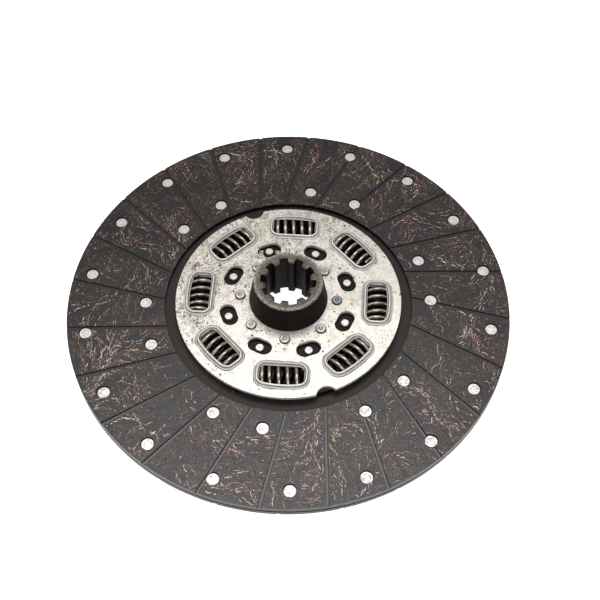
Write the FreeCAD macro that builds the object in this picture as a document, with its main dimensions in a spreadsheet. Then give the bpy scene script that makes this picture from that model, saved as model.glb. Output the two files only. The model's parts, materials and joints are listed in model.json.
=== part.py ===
import FreeCAD, Part
import math
import os

import Sketcher

# A dry clutch disc with a spring torsion damper. Millimetres and degrees. The origin lies on the hub's axis
# in the middle of the core plate, and +Z points along the long end of the hub.

doc = FreeCAD.newDocument("clutch_disc")

# Driving dimensions
dimensions = [
    ("facing_outer_diameter", 355.6, "friction facings, outside"),
    ("facing_inner_diameter", 199.6, "friction facings, inside"),
    ("friction_thickness", 9.5, "over both facings"),
    ("groove_width", 2.8, "dust grooves in the facings"),
    ("groove_depth", 1.0, "dust grooves in the facings"),
    ("groove_count", 12, "grooves in each half of a facing"),
    ("groove_pitch_angle", 15.0, "from one groove to the next"),
    ("groove_offset_one", 27.8, "first half, from the disc's centre"),
    ("groove_offset_two", 23.5, "second half, from the disc's centre"),
    ("groove_start_one", 259.66, "first half, from the first outer rivet"),
    ("groove_start_two", 80.16, "second half, from the first outer rivet"),
    ("core_setback", 1.3, "core plate's rim inside the facings' rim"),
    ("core_thickness", 1.8, "core plate"),
    ("core_hole_diameter", 6.0, "small hole in the core plate"),
    ("core_hole_offset", 0.4, "small hole's centre outside the retainer plates' rim"),
    ("core_hole_angle", 247.0, "from the first spring to the small hole"),
    ("facing_rivet_phase", 10.94, "first outer facing rivet from +X"),
    ("outer_rivet_inset", 14.4, "outer ring of facing rivets, from the facings' outer edge"),
    ("outer_rivet_count", 18, "outer ring of facing rivets"),
    ("inner_rivet_inset", 15.24, "inner ring of facing rivets, from the facings' inner edge"),
    ("inner_rivet_pairs", 6, "inner ring of facing rivets"),
    ("inner_rivet_spread", 10.0, "each side of the pair's middle"),
    ("facing_rivet_head_diameter", 9.6, "flat head"),
    ("facing_rivet_head_thickness", 1.0, "flat head"),
    ("facing_rivet_recess", 1.1, "head below the friction face"),
    ("facing_rivet_shank_diameter", 5.2, "shank"),
    ("facing_rivet_clinch_diameter", 8.6, "rolled end"),
    ("facing_rivet_bore_diameter", 3.2, "hollow end"),
    ("counterbore_clearance", 0.4, "rivet head in the facings' counterbore, on the radius"),
    ("rivet_clearance", 0.05, "around every rivet and pin, on the radius"),
    ("spring_phase", -3.5, "first damper spring from +X"),
    ("spring_count", 8, "damper springs"),
    ("spring_inset", 19.2, "springs' middles inside the retainer plates' rim"),
    ("spring_outer_diameter", 23.6, "damper spring"),
    ("spring_wire_diameter", 4.4, "damper spring, over the flats"),
    ("spring_wire_flats", 8, "sides of the wire's section"),
    ("spring_length", 34.4, "damper spring as fitted"),
    ("spring_middle_turns", 3.65, "open turns"),
    ("spring_closed_turns", 0.75, "closed turns at each end"),
    ("spring_closed_pitch", 4.5, "pitch of the closed turns"),
    ("spring_roll", 130.0, "each spring about its own axis, from the one before"),
    ("spring_clearance", 0.1, "at each end and on the radius of the pockets"),
    ("drive_window_clearance", 0.6, "springs in core and adapter plates, each side"),
    ("drive_window_corner_radius", 0.5, "spring windows of core and adapter plates"),
    ("adapter_setback", 2.9, "adapter plates' rim inside the retainer plates' rim"),
    ("adapter_thickness", 3.9, "adapter plates"),
    ("pilot_clearance", 0.05, "hub flange in the disc, on the radius"),
    ("running_clearance", 0.05, "friction rings under the retainer plates"),
    ("friction_ring_width", 2.6, "friction rings, from the adapter plates' rim inwards"),
    ("pin_offset", 6.6, "stop pins' middles outside the hub flange"),
    ("pin_diameter", 6.6, "stop pins"),
    ("pin_engagement", 1.1, "stop pins into the retainer plates' slots"),
    ("pin_chamfer", 0.4, "stop pins"),
    ("retainer_diameter", 181.2, "retainer plates"),
    ("retainer_thickness", 2.8, "retainer plates"),
    ("retainer_bore_clearance", 0.1, "hub in the retainer plates, on the radius"),
    ("lip_height", 3.0, "spring lips above the plate"),
    ("lip_taper", 41.0, "outer slope of the spring lips, from upright"),
    ("lip_crest", 0.5, "flat along the top of the spring lips"),
    ("lip_flare", 1.6, "inner slope of the spring lips, seen from above"),
    ("lip_flare_depth", 2.2, "inner slope of the spring lips"),
    ("lip_rounding", 0.8, "foot and crest of the spring lips"),
    ("window_width", 16.0, "opening over each spring"),
    ("window_corner_radius", 4.6, "opening over each spring"),
    ("slot_length", 20.0, "stop pin slots"),
    ("slot_width", 13.0, "stop pin slots"),
    ("slot_inset", 0.3, "slots' middles inside the stop pins' middles"),
    ("notch_radius", 8.6, "half-round notches in the rim"),
    ("notch_offset", 3.1, "notches' centres outside the retainer plates' rim"),
    ("hub_flange_diameter", 87.2, "hub flange"),
    ("hub_flange_thickness", 12.4, "hub flange, also between the retainer plates"),
    ("hub_base_diameter", 63.0, "barrel where it leaves the plates"),
    ("hub_top_diameter", 55.2, "barrel at the long end"),
    ("hub_front_length", 33.2, "from the middle of the disc"),
    ("hub_rear_length", 8.7, "from the middle of the disc"),
    ("hub_edge_chamfer", 0.7, "outer edge of the long end"),
    ("spline_phase", 29.0, "first key way of the spline from +X"),
    ("spline_count", 10, "key ways"),
    ("spline_major_diameter", 44.45, "bottom of the key ways"),
    ("spline_minor_diameter", 36.0, "over the tips of the teeth"),
    ("spline_key_width", 6.93, "key ways"),
    ("spline_clearance", 0.03, "each side of a key and on the radius"),
    ("spline_entry_depth", 1.2, "cone at both ends of the bore"),
    ("spline_entry_diameter", 40.4, "cone at both ends of the bore"),
    ("hub_rivet_inset", 4.6, "hub rivets' middles inside the hub flange's rim"),
    ("hub_rivet_head_diameter", 8.8, "domed head"),
    ("hub_rivet_head_height", 1.8, "domed head"),
    ("hub_rivet_shank_diameter", 6.0, "shank"),
    ("hub_rivet_dimple_diameter", 3.2, "dimple in the head"),
    ("hub_rivet_dimple_depth", 0.6, "dimple in the head"),
]

sheet = doc.addObject("Spreadsheet::Sheet", "sizes")
for row, (alias, number, note) in enumerate(dimensions, start=1):
    sheet.set(f"A{row}", str(number))
    sheet.setAlias(f"A{row}", alias)
    sheet.set(f"B{row}", note)
doc.recompute()

# Sizes that follow from the driving dimensions
core_top = "sizes.core_thickness / 2"
facing_thickness = "(sizes.friction_thickness - sizes.core_thickness) / 2"
counterbore_depth = "(sizes.facing_rivet_recess + sizes.facing_rivet_head_thickness)"
clamp_height = f"(sizes.friction_thickness / 2 - {counterbore_depth})"
core_radius = "(sizes.facing_outer_diameter / 2 - sizes.core_setback)"
outer_rivet_ring = "(sizes.facing_outer_diameter / 2 - sizes.outer_rivet_inset)"
inner_rivet_ring = "(sizes.facing_inner_diameter / 2 + sizes.inner_rivet_inset)"
counterbore_radius = "(sizes.facing_rivet_head_diameter / 2 + sizes.counterbore_clearance)"
retainer_radius = "(sizes.retainer_diameter / 2)"
adapter_radius = f"({retainer_radius} - sizes.adapter_setback)"
spring_ring = f"({retainer_radius} - sizes.spring_inset)"
drive_window_length = "(sizes.spring_length + 2 * sizes.spring_clearance)"
drive_window_width = "(sizes.spring_outer_diameter + 2 * sizes.drive_window_clearance)"
lip_foot = "(sizes.lip_flare + sizes.lip_crest + sizes.lip_height * tan(sizes.lip_taper * 1deg))"
flange_radius = "(sizes.hub_flange_diameter / 2)"
disc_bore_radius = f"({flange_radius} + sizes.pilot_clearance)"
pin_ring = f"({flange_radius} + sizes.pin_offset)"
hub_rivet_ring = f"({flange_radius} - sizes.hub_rivet_inset)"
adapter_top = f"({core_top} + sizes.adapter_thickness)"
flange_top = "sizes.hub_flange_thickness / 2"
retainer_top = f"({flange_top} + sizes.retainer_thickness)"
half_step = "180 / sizes.spring_count"
pocket_radius = "(sizes.spring_outer_diameter / 2 + sizes.spring_clearance)"
barrel_radius = "sizes.hub_base_diameter / 2"


def value(expression):
    return float(sheet.evalExpression(expression))


def origin_feature(body, role):
    return next(f for f in body.Origin.OriginFeatures if f.Role == role)


def new_body(label, separate_solids=False):
    body = doc.addObject("PartDesign::Body", label)
    body.Label = label
    body.AllowCompound = separate_solids
    return body


def turn_about_axis(body, angle):
    body.setExpression("Placement.Rotation.Angle", angle)


def turn_over(body, axis_angle):
    """Lays a body's top face downwards, about a line through the origin at this angle from +X.

    A feature at an angle of its own comes to lie at twice the line's angle less its own.
    """
    direction = f"vector(cos({axis_angle} * 1deg); sin({axis_angle} * 1deg); 0)"
    body.setExpression("Placement", f"placement(vector(0; 0; 0); rotation({direction}; 180))")


def plan_sketch(body, name, height="0", turn="0"):
    sketch = body.newObject("Sketcher::SketchObject", name)
    sketch.AttachmentSupport = (origin_feature(body, "XY_Plane"), [""])
    sketch.MapMode = "FlatFace"
    sketch.setExpression("AttachmentOffset.Base.z", height)
    sketch.setExpression("AttachmentOffset.Rotation.Angle", turn)
    return sketch


def section_sketch(body, name, role="XZ_Plane"):
    sketch = body.newObject("Sketcher::SketchObject", name)
    sketch.AttachmentSupport = (origin_feature(body, role), [""])
    sketch.MapMode = "FlatFace"
    return sketch


def dimension(sketch, constraint, expression):
    index = sketch.addConstraint(constraint)
    name = f"size_{index}"
    sketch.renameConstraint(index, name)
    sketch.setExpression(f"Constraints.{name}", expression)


def place_point(sketch, geometry, point, across, along):
    """Ties one point of a sketch to the sketch's origin by its two coordinates."""
    x = value(across)
    y = value(along)
    if abs(x) < 1e-9:
        sketch.addConstraint(Sketcher.Constraint("PointOnObject", geometry, point, -2))
    else:
        dimension(sketch, Sketcher.Constraint("DistanceX", -1, 1, geometry, point, x), across)
    if abs(y) < 1e-9:
        sketch.addConstraint(Sketcher.Constraint("PointOnObject", geometry, point, -1))
    else:
        dimension(sketch, Sketcher.Constraint("DistanceY", -1, 1, geometry, point, y), along)


def circle(sketch, radius, across="0", along="0"):
    centre = FreeCAD.Vector(value(across), value(along), 0)
    index = sketch.addGeometry(Part.Circle(centre, FreeCAD.Vector(0, 0, 1), value(radius)), False)
    dimension(sketch, Sketcher.Constraint("Radius", index, value(radius)), radius)
    place_point(sketch, index, 3, across, along)


def line(sketch, start, end):
    segment = Part.LineSegment(FreeCAD.Vector(*start, 0), FreeCAD.Vector(*end, 0))
    return sketch.addGeometry(segment, False)


def arc(sketch, x, y, radius, start, end):
    """An arc about (x, y), drawn anticlockwise from one angle to the other, in radians."""
    base = Part.Circle(FreeCAD.Vector(x, y, 0), FreeCAD.Vector(0, 0, 1), radius)
    return sketch.addGeometry(Part.ArcOfCircle(base, start, end), False)


def corner(sketch, x, y, radius, start_angle):
    """A quarter round about (x, y), drawn anticlockwise from this angle."""
    start = math.radians(start_angle)
    return arc(sketch, x, y, radius, start, start + math.pi / 2)


def join_smoothly(sketch, chain):
    for first, second in zip(chain, chain[1:] + chain[:1]):
        sketch.addConstraint(Sketcher.Constraint("Tangent", first, 2, second, 1))


def rounded_rectangle(sketch, centre, width, length, radius):
    """A rectangle with round corners, its middle on the sketch's X axis, its length along Y."""
    x = value(centre)
    w = value(width) / 2
    l = value(length) / 2
    r = value(radius)
    bottom = line(sketch, (x - w + r, -l), (x + w - r, -l))
    low_right = corner(sketch, x + w - r, -l + r, r, 270)
    right = line(sketch, (x + w, -l + r), (x + w, l - r))
    top_right = corner(sketch, x + w - r, l - r, r, 0)
    top = line(sketch, (x + w - r, l), (x - w + r, l))
    top_left = corner(sketch, x - w + r, l - r, r, 90)
    left = line(sketch, (x - w, l - r), (x - w, -l + r))
    low_left = corner(sketch, x - w + r, -l + r, r, 180)
    join_smoothly(sketch, [bottom, low_right, right, top_right, top, top_left, left, low_left])
    for level in (bottom, top):
        sketch.addConstraint(Sketcher.Constraint("Horizontal", level))
    for upright in (right, left):
        sketch.addConstraint(Sketcher.Constraint("Vertical", upright))
    for other in (top_right, top_left, low_left):
        sketch.addConstraint(Sketcher.Constraint("Equal", low_right, other))
    dimension(sketch, Sketcher.Constraint("Radius", low_right, r), radius)
    dimension(sketch, Sketcher.Constraint("DistanceX", -1, 1, left, 1, x - w), f"{centre} - {width} / 2")
    dimension(sketch, Sketcher.Constraint("DistanceX", -1, 1, right, 1, x + w), f"{centre} + {width} / 2")
    dimension(sketch, Sketcher.Constraint("DistanceY", -1, 1, bottom, 1, -l), f"-{length} / 2")
    dimension(sketch, Sketcher.Constraint("DistanceY", -1, 1, top, 1, l), f"{length} / 2")


def spring_opening(sketch, offset):
    """The opening over a spring, wider all round by an offset.

    Its outer side is an arc about the disc's axis.
    """
    inner = f"({spring_ring} - sizes.window_width / 2 - {offset})"
    outer = f"({spring_ring} + sizes.window_width / 2 + {offset})"
    end = f"({drive_window_length} / 2 + {offset})"
    radius = f"(sizes.window_corner_radius + {offset})"
    x = value(inner)
    l = value(end)
    r = value(radius)
    reach = value(outer)
    corner_x = math.sqrt((reach - r) ** 2 - (l - r) ** 2)
    lean = math.atan2(l - r, corner_x)
    bottom = line(sketch, (x + r, -l), (corner_x, -l))
    low_right = arc(sketch, corner_x, -l + r, r, -math.pi / 2, -lean)
    right = arc(sketch, 0, 0, reach, -lean, lean)
    top_right = arc(sketch, corner_x, l - r, r, lean, math.pi / 2)
    top = line(sketch, (corner_x, l), (x + r, l))
    top_left = arc(sketch, x + r, l - r, r, math.pi / 2, math.pi)
    left = line(sketch, (x, l - r), (x, -l + r))
    low_left = arc(sketch, x + r, -l + r, r, math.pi, math.pi * 1.5)
    join_smoothly(sketch, [bottom, low_right, right, top_right, top, top_left, left, low_left])
    for level in (bottom, top):
        sketch.addConstraint(Sketcher.Constraint("Horizontal", level))
    sketch.addConstraint(Sketcher.Constraint("Vertical", left))
    for other in (top_right, top_left, low_left):
        sketch.addConstraint(Sketcher.Constraint("Equal", low_right, other))
    sketch.addConstraint(Sketcher.Constraint("Coincident", right, 3, -1, 1))
    dimension(sketch, Sketcher.Constraint("Radius", low_right, r), radius)
    dimension(sketch, Sketcher.Constraint("Radius", right, reach), outer)
    dimension(sketch, Sketcher.Constraint("DistanceX", -1, 1, left, 1, x), inner)
    dimension(sketch, Sketcher.Constraint("DistanceY", -1, 1, bottom, 1, -l), f"-{end}")
    dimension(sketch, Sketcher.Constraint("DistanceY", -1, 1, top, 1, l), end)


def obround(sketch, centre, width, length):
    """A slot with full round ends, its middle on the sketch's X axis, its length along Y."""
    x = value(centre)
    r = value(width) / 2
    l = value(length) / 2 - r
    ends = []
    for y, start in ((l, 0), (-l, math.pi)):
        ends.append(arc(sketch, x, y, r, start, start + math.pi))
    left = line(sketch, (x - r, l), (x - r, -l))
    right = line(sketch, (x + r, -l), (x + r, l))
    join_smoothly(sketch, [ends[0], left, ends[1], right])
    dimension(sketch, Sketcher.Constraint("Radius", ends[0], r), f"{width} / 2")
    place_point(sketch, ends[0], 3, centre, f"({length} - {width}) / 2")
    place_point(sketch, ends[1], 3, centre, f"-({length} - {width}) / 2")


def profile(sketch, path):
    """A closed outline through points given as (across, along), each dimensioned from the sketch's origin.

    A third entry is the radius of a convex arc, drawn clockwise, that leads to the point.
    """
    points = [(value(p[0]), value(p[1])) for p in path]
    edges = []
    for i, step in enumerate(path):
        start = points[i - 1]
        end = points[i]
        if len(step) == 2:
            edges.append((line(sketch, start, end), 1, 2))
            continue
        r = value(step[2])
        middle = ((start[0] + end[0]) / 2, (start[1] + end[1]) / 2)
        chord = math.dist(start, end)
        rise = math.sqrt(max(r * r - chord * chord / 4, 0))
        ux = (end[0] - start[0]) / chord
        uy = (end[1] - start[1]) / chord
        cx = middle[0] + uy * rise
        cy = middle[1] - ux * rise
        first = math.atan2(end[1] - cy, end[0] - cx)
        last = math.atan2(start[1] - cy, start[0] - cx)
        if last < first:
            last += 2 * math.pi
        index = arc(sketch, cx, cy, r, first, last)
        dimension(sketch, Sketcher.Constraint("Radius", index, r), step[2])
        edges.append((index, 2, 1))
    for i, step in enumerate(path):
        edge, start, end = edges[i]
        after, after_start, _ = edges[(i + 1) % len(edges)]
        sketch.addConstraint(Sketcher.Constraint("Coincident", edge, end, after, after_start))
        place_point(sketch, edge, end, step[0], step[1])


def pad(body, sketch, name, length, taper=None):
    feature = body.newObject("PartDesign::Pad", name)
    feature.Profile = sketch
    feature.setExpression("Length", length)
    if taper:
        feature.setExpression("TaperAngle", taper)
    doc.recompute()
    return feature


def pocket(body, sketch, name, depth=None):
    """Cuts downwards from the sketch, right through when no depth is given."""
    feature = body.newObject("PartDesign::Pocket", name)
    feature.Profile = sketch
    if depth:
        feature.setExpression("Length", depth)
    else:
        feature.Type = "ThroughAll"
    doc.recompute()
    return feature


def revolve(body, sketch, name, axis="V_Axis", kind="PartDesign::Revolution"):
    feature = body.newObject(kind, name)
    feature.Profile = sketch
    feature.ReferenceAxis = (sketch, [axis])
    doc.recompute()
    return feature


def around(body, features, name, count, angle="360"):
    pattern = body.newObject("PartDesign::PolarPattern", name)
    pattern.Originals = features
    pattern.Axis = (origin_feature(body, "Z_Axis"), [""])
    pattern.setExpression("Angle", angle)
    pattern.setExpression("Occurrences", count)
    body.Tip = pattern
    doc.recompute()
    return pattern


def ring(body, name, outer_radius, inner_radius, bottom, thickness):
    sketch = plan_sketch(body, f"{name}_outline", bottom)
    circle(sketch, outer_radius)
    circle(sketch, inner_radius)
    return pad(body, sketch, name, thickness)


def round_holes(body, name, radius, ring_radius, top, turns, count):
    """Holes right through a plate, one for each turn, then repeated about the axis."""
    holes = []
    for i, turn in enumerate(turns, start=1):
        sketch = plan_sketch(body, f"{name}_{i}_outline", top, turn)
        circle(sketch, radius, ring_radius)
        holes.append(pocket(body, sketch, f"{name}_{i}"))
    around(body, holes, f"{name}_ring", count)


# Facings


def facing(label):
    body = new_body(label)
    top = f"{core_top} + {facing_thickness}"
    outer = "sizes.facing_outer_diameter / 2"
    inner = "sizes.facing_inner_diameter / 2"
    ring(body, "pad", outer, inner, core_top, facing_thickness)
    shank = "sizes.facing_rivet_shank_diameter / 2 + sizes.rivet_clearance"
    rings = [
        ("outer", outer_rivet_ring, ["0"], "sizes.outer_rivet_count"),
        (
            "inner",
            inner_rivet_ring,
            ["-sizes.inner_rivet_spread", "sizes.inner_rivet_spread"],
            "sizes.inner_rivet_pairs",
        ),
    ]
    for name, ring_radius, turns, count in rings:
        cuts = []
        for i, turn in enumerate(turns, start=1):
            bore = plan_sketch(body, f"{name}_bore_{i}_outline", top, turn)
            circle(bore, shank, ring_radius)
            cuts.append(pocket(body, bore, f"{name}_bore_{i}"))
            seat = plan_sketch(body, f"{name}_seat_{i}_outline", top, turn)
            circle(seat, counterbore_radius, ring_radius)
            cuts.append(pocket(body, seat, f"{name}_seat_{i}", counterbore_depth))
        around(body, cuts, f"{name}_rivet_holes", count)
    halves = [
        ("one", "sizes.groove_offset_one", "sizes.groove_start_one"),
        ("two", "sizes.groove_offset_two", "sizes.groove_start_two"),
    ]
    for name, offset, start in halves:
        sketch = plan_sketch(body, f"groove_{name}_outline", top, start)
        groove_outline(sketch, offset)
        groove = pocket(body, sketch, f"groove_{name}", "sizes.groove_depth")
        around(
            body,
            [groove],
            f"grooves_{name}",
            "sizes.groove_count",
            "(sizes.groove_count - 1) * sizes.groove_pitch_angle",
        )
    return body


def groove_outline(sketch, offset):
    """A straight strip along +X, beside the disc's centre, that runs past both edges of the facing."""
    inner = "sizes.facing_inner_diameter / 4"
    outer = "sizes.facing_outer_diameter"
    low = f"{offset} - sizes.groove_width / 2"
    high = f"{offset} + sizes.groove_width / 2"
    profile(sketch, [(inner, low), (outer, low), (outer, high), (inner, high)])


facing_front = facing("facing_front")
turn_about_axis(facing_front, "sizes.facing_rivet_phase")
facing_rear = facing("facing_rear")
turn_over(facing_rear, "(sizes.facing_rivet_phase / 2)")

# Facing rivets, with a flat head in front and a hollow end rolled over behind


def facing_rivet_outline(sketch):
    head = "sizes.facing_rivet_head_diameter / 2"
    shank = "sizes.facing_rivet_shank_diameter / 2"
    clinch = "sizes.facing_rivet_clinch_diameter / 2"
    bore = "sizes.facing_rivet_bore_diameter / 2"
    thick = "sizes.facing_rivet_head_thickness"
    top = f"({clamp_height} + {thick})"
    ring_radius = "sizes.facing_rivet_head_diameter / 4"
    ring_depth = f"{thick} / 6"
    edge = f"{thick} / 4"
    profile(
        sketch,
        [
            ("0", f"{top} - {ring_depth}"),
            (f"{ring_radius}", f"{top} - {ring_depth}"),
            (f"{ring_radius} + {ring_depth}", top),
            (f"{head} - {edge}", top),
            (head, f"{top} - {edge}"),
            (head, clamp_height),
            (shank, clamp_height),
            (shank, f"-{clamp_height}"),
            (clinch, f"-{clamp_height}"),
            (clinch, f"-{clamp_height} - {edge}"),
            (f"{clinch} - {thick} + {edge}", f"-{top}"),
            (bore, f"-{top}"),
            (bore, f"-{core_top}"),
            ("0", f"-{core_top} + {bore} / 2"),
        ],
    )


def rivet_ring(label, draw, ring_radius, turns, count):
    """Separate rivets about the axis, made from one turned outline for each starting angle."""
    body = new_body(label, separate_solids=True)
    turned = []
    for i, turn in enumerate(turns, start=1):
        sketch = section_sketch(body, f"rivet_{i}_outline")
        sketch.setExpression("AttachmentOffset.Base.x", f"{ring_radius} * cos({turn} * 1deg)")
        sketch.setExpression("AttachmentOffset.Base.z", f"-{ring_radius} * sin({turn} * 1deg)")
        draw(sketch)
        turned.append(revolve(body, sketch, f"rivet_{i}"))
    around(body, turned, "rivets", count)
    return body


outer_facing_rivets = rivet_ring(
    "outer_facing_rivets", facing_rivet_outline, outer_rivet_ring, ["0"], "sizes.outer_rivet_count"
)
turn_about_axis(outer_facing_rivets, "sizes.facing_rivet_phase")
inner_facing_rivets = rivet_ring(
    "inner_facing_rivets",
    facing_rivet_outline,
    inner_rivet_ring,
    ["-sizes.inner_rivet_spread", "sizes.inner_rivet_spread"],
    "sizes.inner_rivet_pairs",
)
turn_about_axis(inner_facing_rivets, "sizes.facing_rivet_phase")

# Core plate and adapter plates. From here on a body's own +X points at the first spring.


def drive_windows(body, top):
    sketch = plan_sketch(body, "window_outline", top)
    rounded_rectangle(
        sketch,
        spring_ring,
        drive_window_width,
        drive_window_length,
        "sizes.drive_window_corner_radius",
    )
    window = pocket(body, sketch, "window")
    around(body, [window], "windows", "sizes.spring_count")


def pin_holes(body, top):
    radius = "sizes.pin_diameter / 2 + sizes.rivet_clearance"
    round_holes(body, "pin_hole", radius, pin_ring, top, [half_step], "sizes.spring_count")


def core_plate():
    body = new_body("core_plate")
    ring(body, "plate", core_radius, disc_bore_radius, f"-{core_top}", "sizes.core_thickness")
    drive_windows(body, core_top)
    pin_holes(body, core_top)
    shank = "sizes.facing_rivet_shank_diameter / 2 + sizes.rivet_clearance"
    phase = "sizes.facing_rivet_phase - sizes.spring_phase"
    round_holes(body, "outer_hole", shank, outer_rivet_ring, core_top, [phase], "sizes.outer_rivet_count")
    turns = [f"{phase} - sizes.inner_rivet_spread", f"{phase} + sizes.inner_rivet_spread"]
    round_holes(body, "inner_hole", shank, inner_rivet_ring, core_top, turns, "sizes.inner_rivet_pairs")
    sketch = plan_sketch(body, "small_hole_outline", core_top, "sizes.core_hole_angle")
    circle(sketch, "sizes.core_hole_diameter / 2", f"{retainer_radius} + sizes.core_hole_offset")
    pocket(body, sketch, "small_hole")
    turn_about_axis(body, "sizes.spring_phase")
    return body


def adapter_plate(label, top):
    body = new_body(label)
    bottom = f"{top} - sizes.adapter_thickness"
    ring(body, "plate", adapter_radius, disc_bore_radius, bottom, "sizes.adapter_thickness")
    drive_windows(body, top)
    pin_holes(body, top)
    turn_about_axis(body, "sizes.spring_phase")
    return body


def friction_ring(label, bottom):
    body = new_body(label)
    inner = f"{adapter_radius} - sizes.friction_ring_width"
    thickness = f"{flange_top} - {adapter_top} - sizes.running_clearance"
    ring(body, "ring", adapter_radius, inner, bottom, thickness)
    return body


def stop_pin_outline(sketch):
    radius = "sizes.pin_diameter / 2"
    reach = f"({flange_top} + sizes.pin_engagement)"
    edge = "sizes.pin_chamfer"
    profile(
        sketch,
        [
            ("0", reach),
            (f"{radius} - {edge}", reach),
            (radius, f"{reach} - {edge}"),
            (radius, f"-({reach} - {edge})"),
            (f"{radius} - {edge}", f"-{reach}"),
            ("0", f"-{reach}"),
        ],
    )


core = core_plate()
adapter_plate_front = adapter_plate("adapter_plate_front", adapter_top)
adapter_plate_rear = adapter_plate("adapter_plate_rear", f"-{core_top}")
friction_ring_front = friction_ring("friction_ring_front", adapter_top)
friction_ring_rear = friction_ring("friction_ring_rear", f"-{flange_top} + sizes.running_clearance")
stop_pins = rivet_ring("stop_pins", stop_pin_outline, pin_ring, [half_step], "sizes.spring_count")
turn_about_axis(stop_pins, "sizes.spring_phase")

# Retainer plates, riveted to both sides of the hub flange, with a raised lip round each spring


def lip_edges(shape):
    """The foot and the crest of every lip: edges that lie level at the plate's top or at the lip's top."""
    levels = (value(retainer_top), value(f"{retainer_top} + sizes.lip_height"))
    inside = value(flange_radius)
    outside = value(retainer_radius)
    names = []
    for i, edge in enumerate(shape.Edges, start=1):
        box = edge.BoundBox
        level = any(abs(box.ZMin - z) < 0.01 and abs(box.ZMax - z) < 0.01 for z in levels)
        middle = edge.valueAt((edge.FirstParameter + edge.LastParameter) / 2)
        reach = math.hypot(middle.x, middle.y)
        if level and inside < reach < outside - 0.01:
            names.append(f"Edge{i}")
    return names


def retainer_plate(label):
    body = new_body(label)
    bore = f"{barrel_radius} + sizes.retainer_bore_clearance"
    ring(body, "plate", retainer_radius, bore, flange_top, "sizes.retainer_thickness")
    sketch = plan_sketch(body, "lip_outline", retainer_top)
    spring_opening(sketch, lip_foot)
    lip = pad(body, sketch, "lip", "sizes.lip_height", "-sizes.lip_taper")
    lips = around(body, [lip], "lips", "sizes.spring_count")
    rounding = body.newObject("PartDesign::Fillet", "lip_rounding")
    rounding.Base = (lips, lip_edges(lips.Shape))
    rounding.setExpression("Radius", "sizes.lip_rounding")
    body.Tip = rounding
    doc.recompute()
    cavity = section_sketch(body, "cavity_outline", "YZ_Plane")
    cavity.setExpression("AttachmentOffset.Base.z", spring_ring)
    half_length = f"{drive_window_length} / 2"
    profile(
        cavity,
        [
            (half_length, "0"),
            (f"-{half_length}", "0"),
            (f"-{half_length}", pocket_radius),
            (half_length, pocket_radius),
        ],
    )
    barrel_cut = revolve(body, cavity, "spring_pocket", "H_Axis", "PartDesign::Groove")
    lip_top = f"{retainer_top} + sizes.lip_height"
    mouth = plan_sketch(body, "flare_outline", lip_top)
    spring_opening(mouth, "sizes.lip_flare")
    flare = pocket(body, mouth, "flare", "sizes.lip_flare_depth")
    flare.setExpression("TaperAngle", "-atan(sizes.lip_flare / sizes.lip_flare_depth)")
    opening = plan_sketch(body, "window_outline", lip_top)
    spring_opening(opening, "0")
    window = pocket(body, opening, "window")
    around(body, [barrel_cut, flare, window], "windows", "sizes.spring_count")
    sketch = plan_sketch(body, "slot_outline", retainer_top, half_step)
    obround(sketch, f"({pin_ring} - sizes.slot_inset)", "sizes.slot_width", "sizes.slot_length")
    slot = pocket(body, sketch, "slot")
    around(body, [slot], "slots", "sizes.spring_count")
    shank = "sizes.hub_rivet_shank_diameter / 2 + sizes.rivet_clearance"
    round_holes(body, "rivet_hole", shank, hub_rivet_ring, retainer_top, ["0"], "sizes.spring_count")
    sketch = plan_sketch(body, "notch_outline", retainer_top, f"{half_step} + 90")
    circle(sketch, "sizes.notch_radius", f"{retainer_radius} + sizes.notch_offset")
    notch = pocket(body, sketch, "notch")
    around(body, [notch], "notches", "2")
    return body


retainer_plate_front = retainer_plate("retainer_plate_front")
turn_about_axis(retainer_plate_front, "sizes.spring_phase")
retainer_plate_rear = retainer_plate("retainer_plate_rear")
turn_over(retainer_plate_rear, f"(sizes.spring_phase / 2 + {half_step})")

# Hub with its flange and internal spline


def hub():
    body = new_body("hub")
    top = "sizes.hub_front_length"
    rear = "-sizes.hub_rear_length"
    edge = "sizes.hub_edge_chamfer"
    tip = "sizes.spline_minor_diameter / 2"
    outline = section_sketch(body, "hub_outline")
    profile(
        outline,
        [
            (tip, rear),
            (tip, top),
            (f"sizes.hub_top_diameter / 2 - {edge}", top),
            ("sizes.hub_top_diameter / 2", f"{top} - {edge}"),
            (barrel_radius, retainer_top),
            (barrel_radius, flange_top),
            (flange_radius, flange_top),
            (flange_radius, f"-{flange_top}"),
            (barrel_radius, f"-{flange_top}"),
            (barrel_radius, f"{rear} + {edge}"),
            (f"{barrel_radius} - {edge}", rear),
        ],
    )
    revolve(body, outline, "turned_form")
    key = plan_sketch(body, "key_way_outline", top, "sizes.spline_phase - sizes.spring_phase")
    half_key = "(sizes.spline_key_width / 2 + sizes.spline_clearance)"
    bottom = "(sizes.spline_major_diameter / 2 + sizes.spline_clearance)"
    crown = f"sqrt({bottom} * {bottom} - {half_key} * {half_key})"
    inside = "sizes.spline_minor_diameter / 4"
    profile(
        key,
        [(inside, f"-{half_key}"), (inside, half_key), (crown, half_key), (crown, f"-{half_key}", bottom)],
    )
    way = pocket(body, key, "key_way")
    around(body, [way], "spline", "sizes.spline_count")
    for name, end, inward in (("front", top, "-"), ("rear", rear, "+")):
        cone = section_sketch(body, f"{name}_entry_outline")
        mouth = "sizes.spline_entry_diameter / 2"
        depth = f"{end} {inward} sizes.spline_entry_depth"
        profile(cone, [(f"{tip} / 2", end), (mouth, end), (tip, depth), (f"{tip} / 2", depth)])
        revolve(body, cone, f"{name}_entry", "V_Axis", "PartDesign::Groove")
    shank = "sizes.hub_rivet_shank_diameter / 2 + sizes.rivet_clearance"
    round_holes(body, "rivet_hole", shank, hub_rivet_ring, top, ["0"], "sizes.spring_count")
    turn_about_axis(body, "sizes.spring_phase")
    return body


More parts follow.
